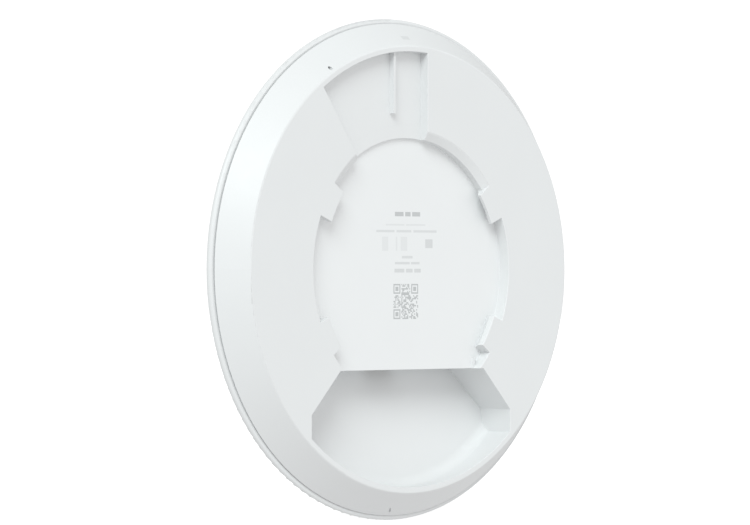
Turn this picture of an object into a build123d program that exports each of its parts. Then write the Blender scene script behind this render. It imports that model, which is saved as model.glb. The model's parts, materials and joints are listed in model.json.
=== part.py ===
from build123d import *
import math
import os

# Ceiling access point. Sizes are in millimetres.
# Everything is drawn in a build pose: X is right, Y is up and Z is the depth from the mounting
# face (Z = 0) to the front. save() turns it upright: the mounting face then looks along +Y,
# the cable bay is at the bottom, and the origin is the centre of the mounting face.

# Housing
body_radius = 85.75
body_depth = 33.0
dome_radius = 179.0
dome_centre = body_depth - dome_radius
dome_wall = 1.6
rim_radius = 1.2
plateau_radius = 76.25
plateau_edge = 0.8
seam_radius = 84.1
seam_depth = 9.1
seam_gap = 0.5
wall = 1.8
tub_wall = 1.5
edge_bevel = 0.12
split_margin = 0.4

# Index mark cut in the bevel below the bay
index_radius = 82.2
index_turn = 3.1
index_lean = 37.0
index_length = 2.6
index_width = 0.8
index_depth = 0.5

# Tongue that locates the front cover, with its snap catches
tongue_outer = 81.9
tongue_inner = 80.4
tongue_end = 10.9
catch_count = 8
catch_length = 6.0
catch_proud = 0.55

# Mounting recess for the bracket: a bayonet with two upper lugs and two lower blocks
recess_radius = 44.9
recess_side_radius = 47.5
recess_depth = 4.5
recess_chamfer_depth = 1.5
recess_low_end = -60.0
upper_lug_radius = 42.0
upper_lug_tip = 1.2
upper_lug_root = 3.2
upper_lug_angles = (22.3, 37.8)
lower_block_radius = 43.1
lower_block_lip = 2.2
lower_block_foot = 44.3
lower_block_angles = (-37.2, -21.9)
stop_rib_x = 33.6
stop_rib_width = 0.8
stop_rib_height = 1.2

# Latch pocket between the recess and the rim
pocket_radius = 74.35
pocket_depth = 3.5
pocket_wall_x = -7.1
pocket_side_angle = 55.0
pocket_rib_x = 7.1
pocket_rib_width = 1.0
pocket_rib_height = 2.2
pocket_rib_low = 53.1

# Cable bay
bay_top = -34.15
bay_top_half = 34.75
bay_half = 48.2
bay_shoulder = -48.6
bay_radius = 74.3
bay_depth = 17.4
bay_slope = 0.197
bay_scoop = 4.0

# Main board
board_radius = 79.3
board_back = 8.0
board_front = 9.6
board_chord = -31.3
screw_sites = [(50.0, 44.0), (62.0, -8.0), (45.5, -26.0)]
screw_shank = 1.0
screw_tip = 4.2
screw_head_radius = 2.3
screw_head_height = 1.6
boss_radius = 2.6
pilot_radius = 1.05

# Network jack, let into a notch of the board
jack_half = 8.1
jack_mouth = -32.2
jack_rear = -11.0
jack_back = 6.6
jack_front = 19.2
jack_sheet = 0.35
plug_half = 5.95
plug_back = 8.9
plug_front = 15.7
plug_reach = 12.5
latch_half = 3.1
latch_back = 7.5
contact_pitch = 1.02

# Screening cans and heat sink
can_wall = 0.25
can_top = 12.3
sink_base = 12.9
sink_plate = 2.0
sink_top = 18.2
sink_centre = (0.0, 37.0)
sink_width = 80.0
sink_height = 25.0
processor_can = (-23.0, 37.0, 33.0, 30.0)
radio_can = (23.0, 37.0, 33.0, 30.0)

# Status light in the middle of the front
light_outer = 17.9
light_inner = 16.2
light_gap = 0.1
light_flange = 1.0
light_neck_depth = 20.4
led_circle = 8.0
led_count = 4

# Reset switch under the pinhole
pinhole_x = 38.2
pinhole_y = 67.4
pinhole_radius = 0.65
pinhole_boss = 2.2
pinhole_boss_end = 5.0
switch_back = 7.0
plunger_tip = 5.9
plunger_radius = 1.1
plunger_flange = 1.3
plunger_clearance = 0.1


def dome_depth(radius, shell=0.0):
    """Depth of the front dome, or of a surface `shell` below it, at a distance from the axis."""
    return dome_centre + math.sqrt((dome_radius - shell) ** 2 - radius ** 2)


def raised(outline, low, high, at=(0.0, 0.0)):
    """A flat outline given thickness between two depths."""
    return Pos(at[0], at[1], low) * extrude(outline, high - low, dir=(0, 0, 1))


def disc(radius, low, high, at=(0.0, 0.0)):
    return raised(Circle(radius), low, high, at)


def ring(inner, outer, low, high, at=(0.0, 0.0)):
    return raised(Circle(outer) - Circle(inner), low, high, at)


def block(width, height, low, high, at=(0.0, 0.0)):
    return raised(Rectangle(width, height), low, high, at)


def wedge(start, end, reach=100.0):
    """A flat triangle from the axis that covers the angles between start and end."""
    middle = (start + end) / 2
    corners = [(0.0, 0.0)]
    for angle in (start, middle, end):
        corners.append((reach * math.cos(math.radians(angle)), reach * math.sin(math.radians(angle))))
    return Polygon(*corners, align=None)


def sector(inner, outer, start, end, low, high):
    outline = Circle(outer) - Circle(inner) if inner else Circle(outer)
    return raised(outline & wedge(start, end), low, high)


def lathe(*points):
    """A solid of revolution from a closed outline of (radius, depth) points."""
    return revolve(Plane.XZ * make_face(Polyline(*points, close=True)), Axis.Z)


def both_sides(shape):
    return [shape, mirror(shape, Plane.YZ)]


def at_sites(sites):
    places = []
    for x, y in sites:
        places += [(x, y), (-x, y)]
    return places


def save(name, *solids):
    """Stand the solids upright and write them as one node."""
    upright = [Rot(90, 0, 0) * solid for solid in solids]
    shape = upright[0] if len(upright) == 1 else Compound(children=upright)
    export_step(shape, f"parts/{name}.step")


# ---------------------------------------------------------------- back cover

def cone_depth(radius, inset=0.0):
    """Depth of the bevelled side at a radius; inset moves the surface inwards."""
    return (radius + inset - plateau_radius) * seam_depth / (seam_radius - plateau_radius)


def cone_inset():
    run = seam_radius - plateau_radius
    return wall * math.hypot(run, seam_depth) / seam_depth


def back_profile(inner):
    outer = [(0, 0), (plateau_radius, 0), (seam_radius, seam_depth), (tongue_outer, seam_depth)]
    outer += [(tongue_outer, tongue_end), (tongue_inner, tongue_end)]
    face = make_face(Polyline(*outer, *inner, close=True))
    corner = face.vertices().sort_by_distance((plateau_radius, 0))[0]
    return revolve(Plane.XZ * fillet(corner, plateau_edge), Axis.Z)


def back_shell():
    inset = cone_inset()
    flat_edge = plateau_radius - inset + wall * (seam_radius - plateau_radius) / seam_depth
    return back_profile([(tongue_inner, cone_depth(tongue_inner, inset)), (flat_edge, wall), (0, wall)])


def back_envelope():
    """The space that the back cover's inner features have to stay in."""
    dome = lathe((0, 0), (tongue_outer, 0), (tongue_outer, body_depth), (0, body_depth))
    dome &= Pos(0, 0, dome_centre) * Sphere(dome_radius - dome_wall - 0.3)
    inside = back_profile([(0, tongue_end)])
    deep = dome & disc(tongue_inner, seam_depth, body_depth)
    return inside + deep


def bay_outline(grow=0.0):
    corners = [(-bay_top_half, bay_top), (bay_top_half, bay_top), (bay_half, bay_shoulder)]
    corners += [(bay_half, -body_radius), (-bay_half, -body_radius), (-bay_half, bay_shoulder)]
    outline = Polygon(*corners, align=None) & Circle(bay_radius)
    return offset(outline, grow, kind=Kind.INTERSECTION) if grow else outline


def bay_volume(grow=0.0):
    """The bay's hollow, or with grow its outer wall; the floor rises towards the rim."""
    top = bay_top + grow
    deep = bay_depth + grow + bay_slope * grow
    low_end = deep - bay_slope * (top + body_radius)
    side = Polygon((top, -1), (top, deep), (-body_radius, low_end), (-body_radius, -1), align=None)
    prism = raised(bay_outline(grow), -1, body_depth)
    volume = prism & extrude(Plane.YZ * side, body_radius, both=True)
    floor = volume.faces().sort_by(Axis.Z)[-1]
    rim_edge = floor.edges().sort_by(Axis.Y)[0]
    return fillet(rim_edge, bay_scoop + grow)


def pocket_outline(grow=0.0):
    side = math.radians(pocket_side_angle)
    near = recess_radius - 5
    far = body_radius + 10
    corners = [(near * math.cos(side), near * math.sin(side)), (far * math.cos(side), far * math.sin(side))]
    corners += [(pocket_wall_x, far), (pocket_wall_x, near)]
    outline = Polygon(*corners, align=None)
    if grow:
        outline = offset(outline, grow, kind=Kind.INTERSECTION)
    return outline & Circle(pocket_radius + grow)


def side_stop(inner, tip, root, angles):
    """A lug or block at the recess's side, flush with the flat face; its inner side slopes from tip to root."""
    outline = lathe((inner, -1), (inner, tip), root, (recess_side_radius, root[1]), (recess_side_radius, -1))
    return outline & raised(wedge(*angles), -1, recess_depth)


def recess_volume():
    """The bracket's recess: a round base, bevelled at the top, wider at the sides, with lugs and blocks."""
    upper_start, upper_end = upper_lug_angles
    hollow = disc(recess_radius, -1, recess_depth)
    bevel = lathe((0, 0), (recess_side_radius, 0), (recess_radius, recess_chamfer_depth),
                  (0, recess_chamfer_depth))
    hollow += bevel & raised(wedge(upper_end, 180 - upper_end), -1, recess_depth)
    hollow += both_sides(sector(0, recess_side_radius, recess_low_end, upper_start, -1, recess_depth))
    upper = side_stop(upper_lug_radius, upper_lug_tip, (recess_radius, upper_lug_root), upper_lug_angles)
    lower = side_stop(lower_block_radius, lower_block_lip, (lower_block_foot, recess_depth), lower_block_angles)
    return hollow - (both_sides(upper) + both_sides(lower))


def back_moulding():
    """The whole back half of the housing: flat face, bevel, recess, pocket, bay and bosses."""
    features = [disc(recess_side_radius + tub_wall, 0, recess_depth + tub_wall), bay_volume(tub_wall)]
    features.append(raised(pocket_outline(tub_wall), 0, pocket_depth + tub_wall))
    features.append(disc(pinhole_boss, 0, pinhole_boss_end, (pinhole_x, pinhole_y)))
    features += [disc(boss_radius, 0, board_back, site) for site in at_sites(screw_sites)]
    cover = back_shell() + (Part() + features & back_envelope())
    cover -= recess_volume()
    cover -= bay_volume()
    cover -= raised(pocket_outline(), -1, pocket_depth)
    rib_height = pocket_radius + tub_wall / 2 - pocket_rib_low
    rib_centre = (pocket_rib_x + pocket_rib_width / 2, pocket_rib_low + rib_height / 2)
    cover += block(pocket_rib_width, rib_height, pocket_depth - pocket_rib_height, pocket_depth, rib_centre)
    cover -= mouth_bevel()
    stop_height = 4.0
    stop = block(stop_rib_width, stop_height, recess_depth - stop_rib_height, recess_depth,
                 (stop_rib_x, bay_top + stop_height / 2))
    cover += both_sides(stop)
    cover -= disc(pinhole_radius, -1, pinhole_boss_end + 1, (pinhole_x, pinhole_y))
    cover -= Part() + [disc(pilot_radius, screw_tip - 0.6, board_back + 1, s) for s in at_sites(screw_sites)]
    window_height = plug_front + 1.4 - latch_back
    window = Pos(0, bay_top + tub_wall / 2, latch_back + window_height / 2 - 0.2)
    cover -= window * Box(2 * plug_half + 1.4, 2 * tub_wall, window_height)
    steepness = math.degrees(math.atan2(seam_depth, seam_radius - plateau_radius))
    index_place = Rot(0, 0, index_turn) * Pos(0, -index_radius, cone_depth(index_radius))
    index = index_place * Rot(-steepness, 0, 0) * Rot(0, 0, -index_lean)
    cover -= index * Box(index_width, index_length, 2 * index_depth)
    catch_depth = (seam_depth + tongue_end) / 2 + 0.35
    for turn in range(catch_count):
        place = Rot(0, 0, (turn + 0.5) * 360 / catch_count) * Pos(tongue_outer - 0.3, 0, catch_depth)
        cover += place * Box(2 * catch_proud, catch_length, 0.6)
    return cover


def recess_region():
    """The space of the recess's side wall and floor, behind the flat face."""
    return disc(recess_side_radius + tub_wall + split_margin, wall, recess_depth + 2 * tub_wall) - bay_region()


def bay_region():
    """The space of the bay's walls and floor, behind the flat face."""
    return bay_volume(tub_wall + split_margin) & disc(body_radius, wall, body_depth)


def mouth_outline():
    """The joint outline of the recess, the pocket and the bay in the flat mounting face."""
    recess = Circle(recess_side_radius) + pocket_outline()
    for radius, angles in ((upper_lug_radius, upper_lug_angles), (lower_block_radius, lower_block_angles)):
        recess -= both_sides((Circle(body_radius) - Circle(radius)) & wedge(*angles))
    return recess + bay_outline()


def mouth_bevel():
    """The small bevel that breaks the sharp edge all round the hollows."""
    return extrude(offset(mouth_outline(), edge_bevel), edge_bevel, dir=(0, 0, 1), taper=45)


# ---------------------------------------------------------------- front cover and status light

def front_cover():
    tip = seam_depth + seam_gap
    slope = math.asin((body_radius - rim_radius) / dome_radius)
    ball = (body_radius - rim_radius, dome_centre + (dome_radius - rim_radius) * math.cos(slope))
    join = (ball[0] + rim_radius * math.sin(slope), ball[1] + rim_radius * math.cos(slope))
    foot = (seam_radius + seam_gap, tip)
    hole = light_outer + light_gap
    top = (hole, dome_depth(hole))
    under = (hole, dome_depth(hole, dome_wall))
    inner_rim = tongue_outer + 0.3
    corner = (inner_rim, dome_depth(inner_rim, dome_wall))
    middle = (top[0] + join[0]) / 2
    outline = [
        ThreePointArc(foot, (body_radius, ball[1]), join),
        ThreePointArc(join, (middle, dome_depth(middle)), top),
        Line(top, under),
        ThreePointArc(under, (middle, dome_depth(middle, dome_wall)), corner),
        Polyline(corner, (inner_rim, tip), foot),
    ]
    cover = revolve(Plane.XZ * make_face(outline), Axis.Z)
    catch_depth = (seam_depth + tongue_end) / 2 + 0.35
    for turn in range(catch_count):
        place = Rot(0, 0, (turn + 0.5) * 360 / catch_count) * Pos(inner_rim, 0, catch_depth)
        cover -= place * Box(1.0, catch_length + 0.8, 1.0)
    return cover


def dome_slice(inner, outer):
    """The part of the dome's wall between two radii."""
    shell = Pos(0, 0, dome_centre) * (Sphere(dome_radius) - Sphere(dome_radius - dome_wall))
    slice_height = 6.0
    column = disc(outer, body_depth - slice_height, body_depth + 1)
    if inner:
        column -= disc(inner, body_depth - slice_height, body_depth + 1)
    return shell & column


def light_ring():
    stem = dome_slice(light_inner, light_outer)
    high = dome_depth(light_outer + 1.5, dome_wall) - 0.15
    low_end = dome_depth(light_inner, dome_wall)
    neck = ring(light_inner, light_outer, high - light_flange, low_end)
    return stem + neck + ring(light_inner - 1.4, light_outer + 1.5, high - light_flange, high)


def centre_cap():
    return dome_slice(0, light_inner - light_gap)


def light_guide():
    top = dome_depth(light_outer + 1.5, dome_wall) - 0.15 - light_flange - 0.2
    low = board_front + 1.4
    outside = [(light_outer + 0.8, top), (led_circle + 1.2, light_neck_depth), (led_circle + 1.2, low)]
    inside = [(led_circle - 1.2, low), (led_circle - 1.2, light_neck_depth), (light_inner - 0.8, top)]
    cup = lathe(*outside, *inside)
    foot = block(1.6, 1.6, board_front, low + 0.8, (led_circle, 0))
    feet = [Rot(0, 0, 45 + 90 * turn) * foot for turn in range(led_count)]
    return cup + feet


def status_leds():
    led = block(2.0, 1.6, board_front, board_front + 0.8, (led_circle, 0))
    led -= disc(0.55, board_front + 0.6, board_front + 1, (led_circle, 0))
    return [Rot(0, 0, turn * 360 / led_count) * led for turn in range(led_count)]


# ---------------------------------------------------------------- board and its fasteners

def main_board():
    board = disc(board_radius, board_back, board_front)
    cut_height = body_radius + board_chord
    board -= block(2 * body_radius, cut_height, board_back, board_front,
                   (0, board_chord - cut_height / 2))
    notch_top = jack_rear + 0.5
    board -= block(2 * jack_half + 1, notch_top - board_chord, board_back, board_front,
                   (0, (notch_top + board_chord) / 2))
    board -= Part() + [disc(1.4, board_back, board_front, site) for site in at_sites(screw_sites)]
    board -= Part() + [disc(1.1, board_back, board_front, site) for site in sink_screw_sites()]
    return board


def screw(tip, seat, head_end, shank, head, at):
    """A pan-head screw with a cross recess; the head is at the seat's far side from the tip."""
    body = disc(shank, min(tip, seat), max(tip, seat), at)
    body += disc(head, min(seat, head_end), max(seat, head_end), at)
    cross_depth = 0.45 * abs(head_end - seat)
    low, high = sorted((head_end, head_end + cross_depth * (1 if seat > head_end else -1)))
    return body - block(0.5, head, low, high, at) - block(head, 0.5, low, high, at)


def board_screws():
    screws = []
    for site in at_sites(screw_sites):
        head_end = board_front + screw_head_height
        screws.append(screw(screw_tip, board_front, head_end, screw_shank, screw_head_radius, site))
    return screws


# ---------------------------------------------------------------- network jack

def jack_shell():
    width = 2 * jack_half
    height = jack_rear - jack_mouth
    centre = (0, (jack_rear + jack_mouth) / 2)
    shell = block(width, height, jack_back, jack_front, centre)
    shell -= block(width - 2 * jack_sheet, height - 2 * jack_sheet, jack_back + jack_sheet,
                   jack_front - jack_sheet, centre)
    shell -= block(2 * plug_half + 0.5, 2, latch_back - 0.2, plug_front + 0.9, (0, jack_mouth))
    tab = block(2.6, 4.0, board_front, board_front + 0.4, (jack_half + 1.2, -21.0))
    return shell + both_sides(tab)


def jack_insert():
    play = jack_sheet + 0.05
    height = jack_rear - jack_mouth - 2 * play
    body = block(2 * (jack_half - play), height, jack_back + play, jack_front - play,
                 (0, (jack_rear + jack_mouth) / 2))
    mouth_centre = (0, jack_mouth + plug_reach / 2)
    body -= block(2 * plug_half, plug_reach, plug_back, plug_front, mouth_centre)
    body -= block(2 * latch_half, plug_reach, latch_back, plug_back, mouth_centre)
    for x in contact_places():
        body -= block(0.55, plug_reach - 1.6, plug_front, plug_front + 1.0, (x, jack_mouth + plug_reach / 2))
    return body


def contact_places():
    return [(index - 3.5) * contact_pitch for index in range(8)]


def jack_contacts():
    """Eight spring fingers: each lies in its groove, folds at the mouth and slopes back in."""
    front = jack_mouth + 1.0
    rear = jack_mouth + plug_reach - 1.2
    depth = plug_front + 0.5
    path = [(rear, depth), (front + 0.3, depth), (front, depth - 0.35), (rear - 2.5, depth - 2.9)]
    inner = [(rear - 2.5, depth - 2.6), (front + 0.5, depth - 0.25), (rear, depth - 0.25)]
    side = Plane.YZ * Polygon(*path, *inner, align=None)
    return [Pos(x, 0, 0) * extrude(side, 0.175, both=True) for x in contact_places()]


# ---------------------------------------------------------------- power and network magnetics

def moulded(width, height, rise, at, corner=0.6):
    """A moulded component standing on the board, with its upright edges rounded."""
    body = block(width, height, board_front, board_front + rise, at)
    return fillet(body.edges().filter_by(Axis.Z), corner)


def lan_transformer():
    at = (24.0, -18.0)
    body = moulded(16.4, 14.0, 5.6, at)
    pin_one = disc(0.6, board_front + 5.4, board_front + 6, (at[0] - 6.2, at[1] + 5.0))
    return body - pin_one


def power_transformer_core():
    at = (-30.0, -15.0)
    core = block(18.0, 13.0, board_front + 0.4, board_front + 11.4, at)
    core -= block(12.6, 13.2, board_front + 2.8, board_front + 9.0, at)
    return core + block(5.0, 13.0, board_front + 2.8, board_front + 9.0, at)


def power_transformer_winding():
    at = (-30.0, -15.0)
    low = board_front + 3.1
    high = board_front + 8.7
    winding = block(12.0, 16.4, low, high, at) - block(5.6, 13.6, low, high, at)
    pins = [block(1.0, 1.0, board_front, low, (at[0] + dx, at[1] + dy)) for dx in (-4, 0, 4) for dy in (-7.4, 7.4)]
    return winding + pins


def power_inductors():
    sites = [(-45.0, 5.0), (-36.0, 5.0), (44.0, -9.0)]
    return [moulded(6.8, 6.8, 3.8, site, 1.2) for site in sites]


def power_capacitors():
    radius = 4.0
    cans = []
    for site in ((-50.0, -12.0), (-50.0, -3.0), (35.5, 2.0)):
        can = disc(radius, board_front + 1.0, board_front + 10.2, site)
        can = fillet(can.edges().sort_by(Axis.Z)[-1], 0.5)
        can += block(2 * radius + 0.3, 2 * radius + 0.3, board_front, board_front + 1.0, site)
        cans.append(can)
    return cans


# ---------------------------------------------------------------- chips, cans and heat sink

def chip(width, height, rise, at):
    body = block(width, height, board_front, board_front + rise, at)
    return chamfer(body.faces().sort_by(Axis.Z)[-1].edges(), 0.15)


def can_frame(can):
    x, y, width, height = can
    inner = block(width - 1.4, height - 1.4, board_front, can_top, (x, y))
    frame = block(width - 0.8, height - 0.8, board_front, can_top - can_wall - 0.1, (x, y)) - inner
    bar = block(width - 1.0, 1.6, can_top - can_wall - 0.5, can_top - can_wall - 0.1, (x, y + height / 3))
    return frame + bar


def can_lid(can):
    x, y, width, height = can
    lid = block(width, height, board_front + 0.3, can_top, (x, y))
    return lid - block(width - 2 * can_wall, height - 2 * can_wall, board_front, can_top - can_wall, (x, y))


def thermal_pads():
    pads = []
    chip_top = board_front + 1.5
    for can in (processor_can, radio_can):
        x, y = can[0], can[1]
        pads.append(block(20, 14, can_top, sink_base, (x, y)))
        pads.append(block(10, 10, chip_top, can_top - can_wall, (x, y - 2)))
    return pads


def sink_screw_sites():
    y = sink_centre[1]
    return [(x, y + dy) for x in (-2.5, 2.5) for dy in (-9.5, 9.5)]


def heat_sink():
    x, y = sink_centre
    sink = block(sink_width, sink_height, sink_base, sink_base + sink_plate, (x, y))
    sink = fillet(sink.edges().filter_by(Axis.Z), 3.0)
    fin_count = 12
    fin_pitch = 6.2
    fin_height = sink_height - 4.0
    for index in range(fin_count):
        place = (x + (index - (fin_count - 1) / 2) * fin_pitch, y)
        sink += block(1.2, fin_height, sink_base + sink_plate, sink_top, place)
    sink += Part() + [disc(2.2, board_front, sink_base, site) for site in sink_screw_sites()]
    return sink - (Part() + [disc(0.95, board_front - 1, sink_base + 1.0, s) for s in sink_screw_sites()])


def heat_sink_screws():
    seat = board_back
    return [screw(sink_base, seat, seat - 1.3, 0.9, 1.7, site) for site in sink_screw_sites()]


# ---------------------------------------------------------------- antennas

def antenna(length, rise, angle, radius):
    """A stamped inverted-F antenna standing on the board, along the rim at an angle."""
    sheet = 0.4
    top = board_front + rise
    arm = block(sheet, length, top - 2.2, top, (0, 0))
    lip = block(3.0, length, top - sheet, top, (-1.5 + sheet / 2, 0))
    legs = block(sheet, 2.4, board_front, top, (0, -length / 2 + 1.2))
    legs += block(sheet, 1.6, board_front, top, (0, -length / 2 + 6.0))
    foot = block(2.4, 2.4, board_front, board_front + sheet, (-1.2 + sheet / 2, -length / 2 + 1.2))
    return Rot(0, 0, angle) * (Pos(radius, 0, 0) * (arm + lip + legs + foot))


# ---------------------------------------------------------------- reset switch

def switch_place(shape):
    """Put a switch piece under the pinhole, square to the radius there."""
    angle = math.degrees(math.atan2(pinhole_y, pinhole_x))
    return Pos(pinhole_x, pinhole_y, 0) * (Rot(0, 0, angle) * shape)


def reset_switch_base():
    base = block(3.2, 4.2, switch_back, board_back)
    return switch_place(base - disc(plunger_flange + 0.15, switch_back, board_back - 0.2))


def reset_switch_cover():
    plate = block(3.2, 4.55, switch_back - 0.25, switch_back - 0.05)
    plate -= disc(plunger_radius + plunger_clearance, 0, board_back)
    clip = block(1.6, 0.15, switch_back - 0.25, board_back - 0.3, (0, 2.2))
    return switch_place(plate + clip + mirror(clip, Plane.XZ))


def reset_switch_dome():
    radius = 1.4
    rise = 0.2
    sheet = 0.08
    ball = (radius ** 2 + rise ** 2) / (2 * rise)
    rim = board_back - 0.22
    centre = Pos(0, 0, rim - sheet - rise + ball)
    dome = centre * (Sphere(ball) - Sphere(ball - sheet))
    return switch_place(dome & disc(radius, rim - rise - 2 * sheet, rim))


def reset_plunger():
    shaft = disc(plunger_radius, plunger_tip, switch_back + 0.2)
    shaft = fillet(shaft.edges().sort_by(Axis.Z)[0], 0.25)
    return switch_place(shaft + disc(plunger_flange, switch_back, switch_back + 0.2))


# ---------------------------------------------------------------- write the nodes

def main():
    os.makedirs("parts", exist_ok=True)
    moulding = back_moulding()
    save("back_cover", moulding - recess_region() - bay_region())
    save("bracket_cup", moulding & recess_region())
    save("cable_bay", moulding & bay_region())
    save("front_cover", front_cover())
    save("light_ring", light_ring())
    save("centre_cap", centre_cap())
    save("light_guide", light_guide())
    save("status_leds", *status_leds())
    save("main_board", main_board())
    save("board_screws", *board_screws())
    save("jack_shell", jack_shell())
    save("jack_insert", jack_insert())
    save("jack_contacts", *jack_contacts())
    save("lan_transformer", lan_transformer())
    save("power_transformer_core", power_transformer_core())
    save("power_transformer_winding", power_transformer_winding())
    save("power_inductors", *power_inductors())
    save("power_capacitors", *power_capacitors())
    save("processor", chip(17.0, 17.0, 1.4, (processor_can[0], processor_can[1] - 2)))
    save("memory_chip", chip(9.0, 6.0, 1.0, (processor_can[0] + 6, processor_can[1] + 11)))
    save("flash_chip", chip(6.0, 5.0, 0.9, (processor_can[0] - 8, processor_can[1] + 11)))
    save("radio_chip_5g", chip(12.0, 12.0, 1.4, (radio_can[0], radio_can[1] - 2)))
    save("radio_chip_2g", chip(7.0, 7.0, 0.9, (radio_can[0] + 8, radio_can[1] + 10)))
    save("processor_can_frame", can_frame(processor_can))
    save("processor_can_lid", can_lid(processor_can))
    save("radio_can_frame", can_frame(radio_can))
    save("radio_can_lid", can_lid(radio_can))
    save("thermal_pads", *thermal_pads())
    save("heat_sink", heat_sink())
    save("heat_sink_screws", *heat_sink_screws())
    save("antenna_2g_left", antenna(24.0, 5.4, 8, 71.5))
    save("antenna_2g_right", antenna(24.0, 5.4, 172, 71.5))
    save("antenna_5g_left", antenna(14.0, 4.6, 72, 71.5))
    save("antenna_5g_right", antenna(14.0, 4.6, 108, 71.5))
    save("reset_switch_base", reset_switch_base())
    save("reset_switch_cover", reset_switch_cover())
    save("reset_switch_dome", reset_switch_dome())
    save("reset_plunger", reset_plunger())


main()
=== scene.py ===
import json
import math

import bpy
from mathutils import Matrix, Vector


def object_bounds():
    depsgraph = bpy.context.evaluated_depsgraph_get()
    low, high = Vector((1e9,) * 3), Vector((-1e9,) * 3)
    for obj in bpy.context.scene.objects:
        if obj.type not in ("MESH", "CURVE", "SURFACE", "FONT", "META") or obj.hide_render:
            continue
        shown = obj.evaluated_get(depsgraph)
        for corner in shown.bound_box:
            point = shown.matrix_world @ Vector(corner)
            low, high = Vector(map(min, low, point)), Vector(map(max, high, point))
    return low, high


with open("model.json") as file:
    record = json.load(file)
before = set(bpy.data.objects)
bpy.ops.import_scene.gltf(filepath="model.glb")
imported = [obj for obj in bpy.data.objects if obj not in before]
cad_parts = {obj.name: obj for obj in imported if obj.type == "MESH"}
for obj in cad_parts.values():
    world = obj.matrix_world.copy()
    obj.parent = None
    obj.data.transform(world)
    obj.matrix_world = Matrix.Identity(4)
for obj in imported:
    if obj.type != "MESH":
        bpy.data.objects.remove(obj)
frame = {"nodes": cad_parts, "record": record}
CAD_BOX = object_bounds()

MM = 0.001
NODES = frame["nodes"]


# ---------------------------------------------------------------- node graphs

class Graph:
    """A material under construction: small helpers that add and link shader nodes."""

    def __init__(self, name):
        self.material = bpy.data.materials.new(name)
        self.material.use_nodes = True
        self.tree = self.material.node_tree
        self.tree.nodes.clear()
        self.shader = self.add("ShaderNodeBsdfPrincipled")
        output = self.add("ShaderNodeOutputMaterial")
        self.link(self.shader.outputs["BSDF"], output.inputs["Surface"])
        self.place = self.add("ShaderNodeTexCoord").outputs["Object"]

    def add(self, kind, **settings):
        node = self.tree.nodes.new(kind)
        for key, value in settings.items():
            setattr(node, key, value)
        return node

    def link(self, source, target):
        self.tree.links.new(source, target)

    def feed(self, target, value):
        if isinstance(value, bpy.types.NodeSocket):
            self.link(value, target)
        else:
            target.default_value = value

    def math(self, operation, first, second=0.0, third=0.0):
        node = self.add("ShaderNodeMath", operation=operation)
        for socket, value in zip(node.inputs, (first, second, third)):
            self.feed(socket, value)
        return node.outputs[0]

    def stretched(self, scale):
        """The object's own coordinates, stretched along each axis."""
        node = self.add("ShaderNodeVectorMath", operation="MULTIPLY")
        self.link(self.place, node.inputs[0])
        node.inputs[1].default_value = scale
        return node.outputs[0]

    def noise(self, size, detail=2.0, where=None):
        """Noise between 0 and 1 with features about `size` metres across."""
        node = self.add("ShaderNodeTexNoise")
        self.link(where or self.place, node.inputs["Vector"])
        node.inputs["Scale"].default_value = 1.0 / size
        node.inputs["Detail"].default_value = detail
        return node.outputs["Fac"]

    def cells(self, size, feature="F1"):
        node = self.add("ShaderNodeTexVoronoi", feature=feature)
        self.link(self.place, node.inputs["Vector"])
        node.inputs["Scale"].default_value = 1.0 / size
        return node.outputs["Distance"]

    def span(self, value, low, high, out_low, out_high):
        node = self.add("ShaderNodeMapRange")
        for key, item in zip(("Value", "From Min", "From Max", "To Min", "To Max"),
                             (value, low, high, out_low, out_high)):
            self.feed(node.inputs[key], item)
        return node.outputs["Result"]

    def mix(self, factor, first, second):
        node = self.add("ShaderNodeMix", data_type="RGBA")
        self.feed(node.inputs["Factor"], factor)
        for socket, colour in ((node.inputs["A"], first), (node.inputs["B"], second)):
            self.feed(socket, (*colour, 1.0) if isinstance(colour, tuple) else colour)
        return node.outputs["Result"]

    def millimetres(self):
        """The object's own X, Y and Z in millimetres."""
        split = self.add("ShaderNodeSeparateXYZ")
        self.link(self.place, split.inputs[0])
        return [self.math("MULTIPLY", split.outputs[axis], 1000.0) for axis in "XYZ"]

    def lighten(self, colour, factor):
        node = self.add("ShaderNodeVectorMath", operation="SCALE")
        self.link(colour, node.inputs[0])
        self.feed(node.inputs["Scale"], factor)
        return node.outputs[0]

    def bump(self, height, distance, strength):
        node = self.add("ShaderNodeBump")
        node.inputs["Strength"].default_value = strength
        node.inputs["Distance"].default_value = distance
        self.link(height, node.inputs["Height"])
        return node.outputs["Normal"]

    def surface(self, **inputs):
        for key, value in inputs.items():
            self.feed(self.shader.inputs[key.replace("_", " ")], value)
        return self.material


def shade(colour, factor):
    return tuple(channel * factor for channel in colour)


# ---------------------------------------------------------------- materials

def housing_graph(name, colour, rough):
    """White moulded plastic: faint mottling, a spark-eroded grain and an even satin gloss."""
    graph = Graph(name)
    mottle = graph.noise(22 * MM, 3.0)
    tint = graph.mix(graph.span(mottle, 0.3, 0.7, 0.0, 1.0), shade(colour, 0.988), colour)
    patches = graph.noise(6 * MM, 2.0)
    gloss = graph.span(patches, 0.3, 0.7, rough - 0.03, rough + 0.03)
    grain = graph.noise(0.35 * MM, 2.0)
    pits = graph.cells(0.6 * MM)
    relief = graph.math("ADD", grain, graph.math("MULTIPLY", pits, 0.5))
    graph.surface(Roughness=gloss, Normal=graph.bump(relief, 0.012 * MM, 0.6), IOR=1.5)
    return graph, tint


def housing(name, colour, rough):
    graph, tint = housing_graph(name, colour, rough)
    return graph.surface(Base_Color=tint)


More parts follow.
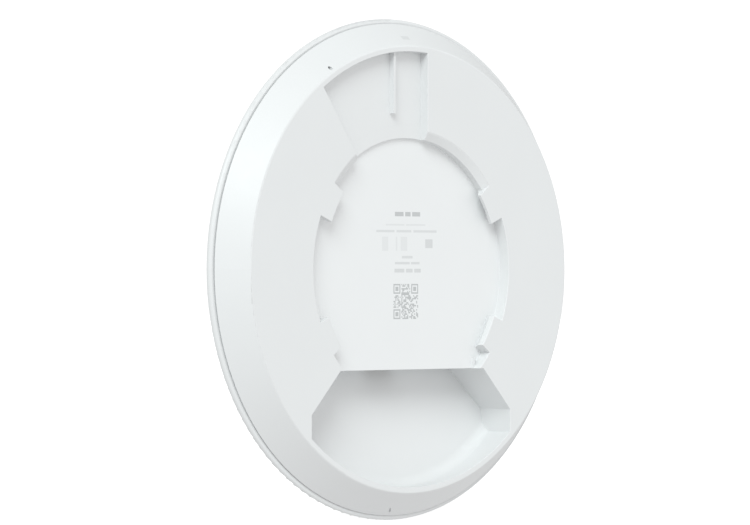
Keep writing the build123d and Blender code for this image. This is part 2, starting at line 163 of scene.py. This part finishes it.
def brushed(name, colour, rough, stretch, grain=0.12 * MM):
    """Drawn or rolled metal with fine lines along one axis."""
    graph = Graph(name)
    lines = graph.noise(grain, 3.0, graph.stretched(stretch))
    stain = graph.noise(5 * MM, 2.0)
    tint = graph.mix(graph.span(stain, 0.3, 0.7, 0.0, 1.0), shade(colour, 0.9), colour)
    gloss = graph.span(lines, 0.3, 0.7, rough - 0.06, rough + 0.08)
    return graph.surface(Base_Color=tint, Roughness=gloss, Metallic=1.0,
                         Normal=graph.bump(lines, 0.006 * MM, 0.5))


def moulded(name, colour, rough, size=0.4 * MM, height=0.02 * MM):
    """Dark moulded plastic or epoxy with a fine pebbled skin."""
    graph = Graph(name)
    pebble = graph.cells(size, "SMOOTH_F1")
    cloud = graph.noise(3 * MM, 3.0)
    tint = graph.mix(graph.span(cloud, 0.3, 0.7, 0.0, 1.0), shade(colour, 0.85), colour)
    gloss = graph.span(cloud, 0.3, 0.7, rough - 0.05, rough + 0.05)
    return graph.surface(Base_Color=tint, Roughness=gloss, Normal=graph.bump(pebble, height, 0.6))


def translucent(name, colour, rough, weight, reach):
    """Milky diffusing plastic for the status light."""
    graph = Graph(name)
    cloud = graph.noise(4 * MM, 3.0)
    tint = graph.mix(graph.span(cloud, 0.3, 0.7, 0.0, 1.0), shade(colour, 0.97), colour)
    gloss = graph.span(graph.noise(2 * MM), 0.3, 0.7, rough - 0.03, rough + 0.03)
    return graph.surface(Base_Color=tint, Roughness=gloss, Subsurface_Weight=weight,
                         Subsurface_Radius=(reach, reach, reach), Subsurface_Scale=1.0,
                         Normal=graph.bump(graph.noise(0.5 * MM), 0.004 * MM, 0.4))


def circuit_board():
    """Solder mask over copper: traces show as slightly raised lighter lanes, with plated dots."""
    graph = Graph("circuit_board")
    lanes = graph.add("ShaderNodeTexBrick")
    graph.link(graph.stretched((1.0, 0.0, 1.0)), lanes.inputs["Vector"])
    lanes.inputs["Scale"].default_value = 260.0
    lanes.inputs["Mortar Size"].default_value = 0.012
    copper = graph.math("SUBTRACT", 1.0, lanes.outputs["Fac"])
    dots = graph.math("LESS_THAN", graph.cells(3.4 * MM), 0.12)
    mask = graph.mix(copper, (0.012, 0.10, 0.045), (0.02, 0.17, 0.08))
    tint = graph.mix(dots, mask, (0.55, 0.45, 0.22))
    gloss = graph.span(graph.noise(1 * MM), 0.3, 0.7, 0.28, 0.38)
    return graph.surface(Base_Color=tint, Roughness=gloss,
                         Normal=graph.bump(graph.math("ADD", copper, dots), 0.03 * MM, 0.5))


def marks(graph, x, z, bars):
    """Ink in rectangles of the back's plane, each (low x, high x, low z, high z, strength) in millimetres."""
    total = 0.0
    for low_x, high_x, low_z, high_z, strength in bars:
        wide = graph.math("COMPARE", x, (low_x + high_x) / 2, (high_x - low_x) / 2)
        tall = graph.math("COMPARE", z, (low_z + high_z) / 2, (high_z - low_z) / 2)
        inside = graph.math("MULTIPLY", graph.math("MULTIPLY", wide, tall), strength)
        total = graph.math("MAXIMUM", total, inside)
    return total


def code_square(graph, x, z, corner, module, count, strength):
    """A square of random modules with three corner frames, in place of a printed code."""
    left, foot = corner
    column = graph.math("FLOOR", graph.math("DIVIDE", graph.math("SUBTRACT", x, left), module))
    row = graph.math("FLOOR", graph.math("DIVIDE", graph.math("SUBTRACT", z, foot), module))
    cell = graph.add("ShaderNodeCombineXYZ")
    graph.link(column, cell.inputs[0])
    graph.link(row, cell.inputs[1])
    chance = graph.add("ShaderNodeTexWhiteNoise", noise_dimensions="3D")
    graph.link(cell.outputs[0], chance.inputs["Vector"])
    ink = graph.math("LESS_THAN", chance.outputs["Value"], 0.5)
    middle = (count - 1) / 2
    inside = graph.math("MULTIPLY", graph.math("COMPARE", column, middle, middle + 0.1),
                        graph.math("COMPARE", row, middle, middle + 0.1))
    for near_x, near_z in ((3, count - 4), (count - 4, count - 4), (count - 4, 3)):
        away = graph.math("MAXIMUM", graph.math("ABSOLUTE", graph.math("SUBTRACT", column, near_x)),
                          graph.math("ABSOLUTE", graph.math("SUBTRACT", row, near_z)))
        frame_ink = graph.math("MAXIMUM", graph.math("LESS_THAN", away, 1.5),
                               graph.math("COMPARE", away, 3.0, 0.1))
        near = graph.math("LESS_THAN", away, 4.5)
        ink = graph.math("ADD", graph.math("MULTIPLY", ink, graph.math("SUBTRACT", 1.0, near)),
                         graph.math("MULTIPLY", frame_ink, near))
    return graph.math("MULTIPLY", graph.math("MULTIPLY", ink, inside), strength)


def back_plastic(name, bars=(), code=None):
    """The back's plastic, drawn lighter on the recess floor as painted light, with grey print on it."""
    graph, tint = housing_graph(name, WHITE, BACK_GLOSS)
    x, y, z = graph.millimetres()
    painted_light_area = graph.math("COMPARE", y, RECESS_FLOOR, 0.2)
    for value, low, high in ((x, -RECESS_REACH, RECESS_REACH), (z, BAY_TOP, RECESS_REACH)):
        inside = graph.math("COMPARE", value, (low + high) / 2, (high - low) / 2)
        painted_light_area = graph.math("MULTIPLY", painted_light_area, inside)
    # Painted light: the recess floor is drawn lighter than the plastic around it, a painted pool of light
    # rather than a different plastic.
    tint = graph.lighten(tint, graph.span(painted_light_area, 0.0, 1.0, 1.0, FLOOR_PAINTED_LIGHT))
    ink = marks(graph, x, z, bars)
    if code:
        ink = graph.math("MAXIMUM", ink, code_square(graph, x, z, *code))
    return graph.surface(Base_Color=graph.mix(ink, tint, INK))


# ---------------------------------------------------------------- finishes for every slot

WHITE = (0.735, 0.748, 0.752)
INK = (0.30, 0.315, 0.32)
BACK_GLOSS = 0.46

# The recess floor's depth and reach, and the height where the bay begins, in millimetres
RECESS_FLOOR = -4.5
RECESS_REACH = 48.0
BAY_TOP = -34.1
# How much lighter the recess floor is drawn: painted light, not a different plastic.
FLOOR_PAINTED_LIGHT = 1.07

# The code square's low corner and module in millimetres, its modules per side and its strength
CODE_SQUARE = ((-6.9, -16.9), 0.48, 25, 0.62)

finishes = {
    "housing": housing("housing", WHITE, BACK_GLOSS),
    "housing_front": housing("housing_front", WHITE, 0.40),
    "light_window": translucent("light_window", (0.78, 0.84, 0.90), 0.30, 0.4, 1.5 * MM),
    "light_guide": translucent("light_guide", (0.86, 0.89, 0.91), 0.22, 0.6, 3.0 * MM),
    "led": moulded("led", (0.80, 0.72, 0.32), 0.35),
    "circuit_board": circuit_board(),
    "screw": brushed("screw", (0.62, 0.61, 0.58), 0.32, (1.0, 8.0, 1.0)),
    "nickel_sheet": brushed("nickel_sheet", (0.72, 0.70, 0.66), 0.30, (1.0, 1.0, 10.0)),
    "jack_plastic": moulded("jack_plastic", (0.62, 0.62, 0.60), 0.42),
    "contact_metal": brushed("contact_metal", (0.86, 0.64, 0.28), 0.22, (8.0, 1.0, 1.0)),
    "component_black": moulded("component_black", (0.028, 0.028, 0.031), 0.55),
    "ferrite": moulded("ferrite", (0.055, 0.055, 0.060), 0.60, 0.25 * MM, 0.03 * MM),
    "winding_tape": moulded("winding_tape", (0.72, 0.50, 0.08), 0.30, 1.2 * MM, 0.02 * MM),
    "capacitor_can": brushed("capacitor_can", (0.74, 0.75, 0.77), 0.28, (1.0, 12.0, 1.0)),
    "thermal_pad": moulded("thermal_pad", (0.42, 0.52, 0.62), 0.75, 0.8 * MM, 0.03 * MM),
    "heat_sink_metal": brushed("heat_sink_metal", (0.76, 0.76, 0.77), 0.36, (10.0, 1.0, 1.0)),
    "antenna_metal": brushed("antenna_metal", (0.76, 0.73, 0.66), 0.34, (1.0, 1.0, 6.0)),
    "spring_metal": brushed("spring_metal", (0.66, 0.66, 0.67), 0.24, (6.0, 1.0, 1.0)),
    "plunger_plastic": moulded("plunger_plastic", (0.62, 0.62, 0.60), 0.45),
}


# ---------------------------------------------------------------- print on the recess floor and the bevel

def dashes(low_z, high_z, strength, *spans):
    return [(low_x, high_x, low_z, high_z, strength) for low_x, high_x in spans]


# Grey marks in place of the printing, with nothing to read
FLOOR_PRINT = [
    *dashes(18.2, 19.7, 0.55, (-7.9, -4.0), (-3.2, -0.6), (0.2, 4.4)),
    *dashes(15.0, 15.6, 0.14, (-10.5, -1.0), (-0.2, 8.8)),
    *dashes(12.7, 13.5, 0.24, (-16.0, -4.6), (-3.6, 3.6), (4.6, 13.4)),
    *dashes(6.4, 11.2, 0.12, (3.2, 4.0), (-1.6, 1.6), (7.6, 10.6)),
    *dashes(7.4, 10.4, 0.30, (-14.0, -10.4)),
    *dashes(3.8, 4.7, 0.26, (-4.2, 1.0)),
    *dashes(1.8, 2.6, 0.28, (-7.6, -3.4), (-2.8, 4.4)),
    *dashes(-1.0, 0.3, 0.30, (-8.2, -5.0), (-4.2, -1.0), (-0.2, 4.6)),
]
BEVEL_PRINT = dashes(78.5, 79.7, 0.20, (-1.3, 2.3))

own_finishes = {
    "back_cover": back_plastic("back_cover", BEVEL_PRINT),
    "bracket_cup": back_plastic("bracket_cup", FLOOR_PRINT, CODE_SQUARE),
    "cable_bay": back_plastic("cable_bay"),
}


def apply_finishes():
    for part in frame["record"]["subparts"]:
        node = NODES[part["node"]]
        material = own_finishes.get(part["node"], finishes[part["material_slot"]])
        if not node.material_slots:
            node.data.materials.append(material)
        for slot in node.material_slots:
            slot.material = material


apply_finishes()


# ---------------------------------------------------------------- stage, light and camera

# Half the floor's side in metres, and how much it glows
FLOOR_HALF = 6.0
FLOOR_GLOW = 0.45

# The key light's direction, the angle it covers in degrees, its strength and its faint tint
KEY_DIRECTION = (0.70, 0.53, 0.71)
KEY_WIDTH = 32.0
KEY_STRENGTH = 1.80
KEY_TINT = (0.945, 1.0, 1.0)

# The soft light all round: its base, its slope, what the ends of the Y axis add, and what the camera sees
WORLD_LIGHT = (0.577, (-0.075, 0.0, -0.100), 0.361, 1.1)

# The camera's place in metres, its direction, its lens and sensor in millimetres, and its upward shift
CAMERA_PLACE = (1.0750, 1.0550, -0.0026)
CAMERA_DIRECTION = (-0.7076, -0.7066, 0.0)
CAMERA_LENS = 212.06
CAMERA_SENSOR = 36.0
CAMERA_SHIFT = 0.0196

def make_floor():
    graph = Graph("floor")
    haze = graph.noise(0.4, 2.0)
    graph.surface(Base_Color=graph.mix(haze, (0.90, 0.90, 0.90), (0.92, 0.92, 0.92)), Roughness=0.9,
                  Specular_IOR_Level=0.1, Emission_Color=(1.0, 1.0, 1.0, 1.0), Emission_Strength=FLOOR_GLOW)
    mesh = bpy.data.meshes.new("floor")
    level = CAD_BOX[0].z
    corners = ((-1, -1), (1, -1), (1, 1), (-1, 1))
    mesh.from_pydata([(x * FLOOR_HALF, y * FLOOR_HALF, level) for x, y in corners], [], [(0, 1, 2, 3)])
    mesh.materials.append(graph.material)
    floor = bpy.data.objects.new("floor", mesh)
    bpy.context.scene.collection.objects.link(floor)
    floor.visible_diffuse = False
    floor.visible_glossy = False
    floor.visible_shadow = False


def sun(name, direction, width, strength, tint):
    """A large, far softbox; width is the angle it covers, in degrees."""
    light = bpy.data.lights.new(name, "SUN")
    light.angle = math.radians(width)
    light.energy = strength
    light.color = tint
    lamp = bpy.data.objects.new(name, light)
    lamp.rotation_euler = Vector(direction).to_track_quat("Z", "Y").to_euler()
    bpy.context.scene.collection.objects.link(lamp)


def make_world(base, slope, ends, seen):
    """Soft light from all round: base, plus slope times the direction it comes from, and more towards both
    ends of the Y axis. The camera sees plain white."""
    world = bpy.data.worlds.new("studio")
    world.use_nodes = True
    tree = world.node_tree
    tree.nodes.clear()
    add, link = tree.nodes.new, tree.links.new
    where = add("ShaderNodeTexCoord")
    lean = add("ShaderNodeVectorMath")
    lean.operation = "DOT_PRODUCT"
    lean.inputs[1].default_value = slope
    link(where.outputs["Generated"], lean.inputs[0])
    split = add("ShaderNodeSeparateXYZ")
    link(where.outputs["Generated"], split.inputs[0])
    along, raised, level = (add("ShaderNodeMath") for step in range(3))
    along.operation = "ABSOLUTE"
    link(split.outputs["Y"], along.inputs[0])
    raised.operation = "MULTIPLY_ADD"
    raised.inputs[1].default_value = ends
    raised.inputs[2].default_value = base
    link(along.outputs[0], raised.inputs[0])
    level.operation = "ADD"
    link(raised.outputs[0], level.inputs[0])
    link(lean.outputs["Value"], level.inputs[1])
    soft = add("ShaderNodeBackground")
    link(level.outputs[0], soft.inputs["Strength"])
    plain = add("ShaderNodeBackground")
    plain.inputs["Strength"].default_value = seen
    for glow in (soft, plain):
        glow.inputs["Color"].default_value = (1.0, 1.0, 1.0, 1.0)
    mix = add("ShaderNodeMixShader")
    link(add("ShaderNodeLightPath").outputs["Is Camera Ray"], mix.inputs[0])
    link(soft.outputs[0], mix.inputs[1])
    link(plain.outputs[0], mix.inputs[2])
    link(mix.outputs[0], add("ShaderNodeOutputWorld").inputs["Surface"])
    bpy.context.scene.world = world


def make_camera():
    data = bpy.data.cameras.new("camera")
    data.lens = CAMERA_LENS
    data.sensor_width = CAMERA_SENSOR
    data.shift_y = CAMERA_SHIFT
    data.clip_start = 0.05
    data.clip_end = 50.0
    camera = bpy.data.objects.new("camera", data)
    camera.location = CAMERA_PLACE
    camera.rotation_euler = Vector(CAMERA_DIRECTION).to_track_quat("-Z", "Y").to_euler()
    bpy.context.scene.collection.objects.link(camera)
    bpy.context.scene.camera = camera


make_floor()
make_world(*WORLD_LIGHT)
sun("key", KEY_DIRECTION, KEY_WIDTH, KEY_STRENGTH, KEY_TINT)
make_camera()

settings = bpy.context.scene.view_settings
settings.view_transform = "Standard"
settings.look = "None"
settings.exposure = 0.0
settings.gamma = 1.0
